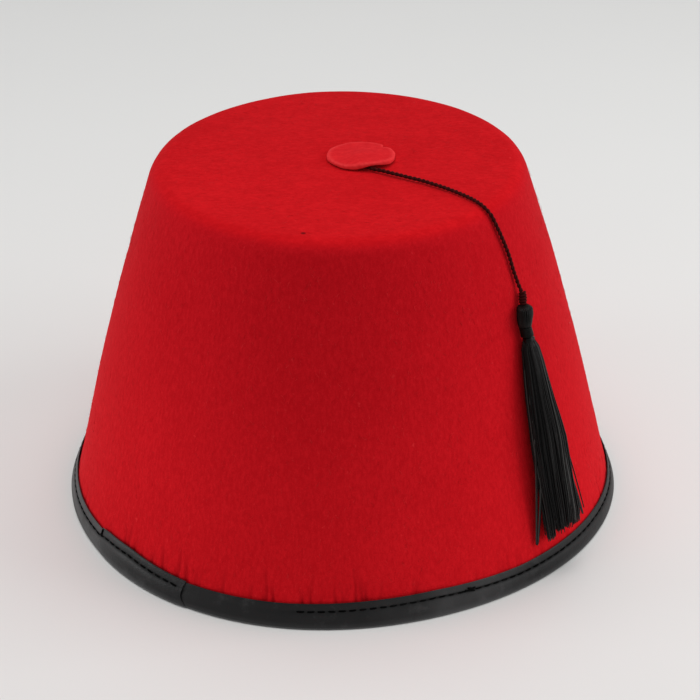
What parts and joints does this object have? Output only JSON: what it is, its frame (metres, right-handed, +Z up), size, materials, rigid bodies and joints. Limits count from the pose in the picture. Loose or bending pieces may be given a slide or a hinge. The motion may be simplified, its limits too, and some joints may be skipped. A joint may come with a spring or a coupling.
{
  "type": "fez",
  "caption": "Tapered felt fez with a flat top, a bound rim, a small felt disc on top, and a thin cord that ends in a tassel on the side.",
  "frame": {"origin": "centre of the hat's footprint, in the plane that the rim rests on", "axes": "+Z up through the crown, -Y towards the side that faces the viewer in the picture, +X towards the tassel, on the viewer's right"},
  "size_m": [0.2012, 0.1913, 0.1314],
  "materials": {
    "red_felt": "napped wool felt",
    "disc_felt": "napped wool felt, a little lighter",
    "black_tape": "satin leatherette tape",
    "black_cord": "twisted cord",
    "black_thread": "silky thread",
    "wrap_thread": "silky wound thread"
  },
  "bodies": {
    "root": {"felt_body": "red_felt", "rim_binding": "black_tape", "top_disc": "disc_felt", "cord": "black_cord", "tassel_knot": "black_cord", "tassel": "black_thread", "tassel_neck_wrap": "wrap_thread"}
  },
  "joints": []
}
